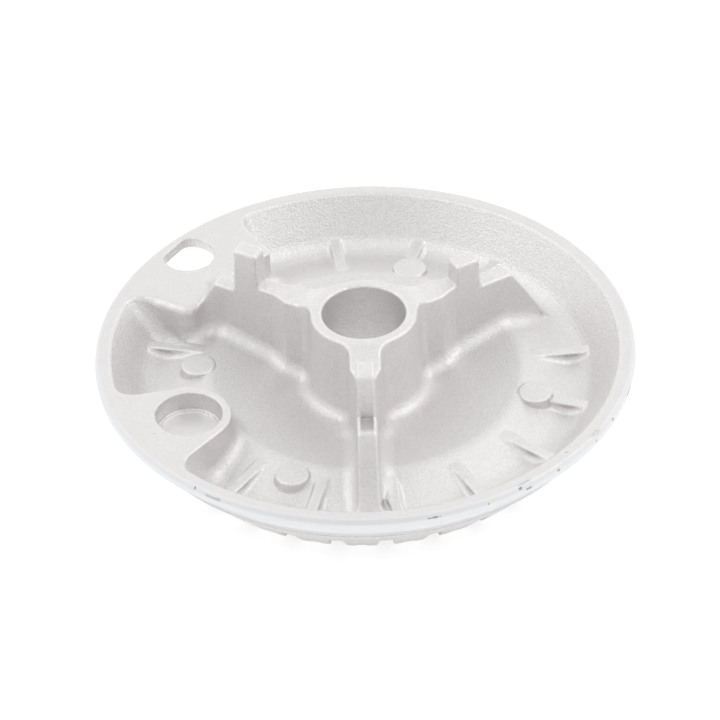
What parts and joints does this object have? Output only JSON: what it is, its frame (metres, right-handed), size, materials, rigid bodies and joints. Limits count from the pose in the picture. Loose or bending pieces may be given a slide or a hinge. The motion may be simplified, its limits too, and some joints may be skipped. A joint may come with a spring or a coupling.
{
  "type": "gas burner crown",
  "caption": "Dished gas burner crown cast in aluminium, with a central bore, locating spokes, an electrode flange and a ring of flame-port teeth.",
  "frame": {"origin": "on the crown's axis, in the plane of the tips of the flame-port teeth that it stands on here", "axes": "+Z along the crown's axis from the flame-port teeth to the locating pegs, -Y along the locating spoke with the notched step, +X to the right of it"},
  "size_m": [0.101, 0.101, 0.0305],
  "materials": {
    "cast_aluminium": "bead-blasted die casting with a turned rim"
  },
  "bodies": {
    "root": {"burner_crown": "cast_aluminium"}
  },
  "joints": []
}
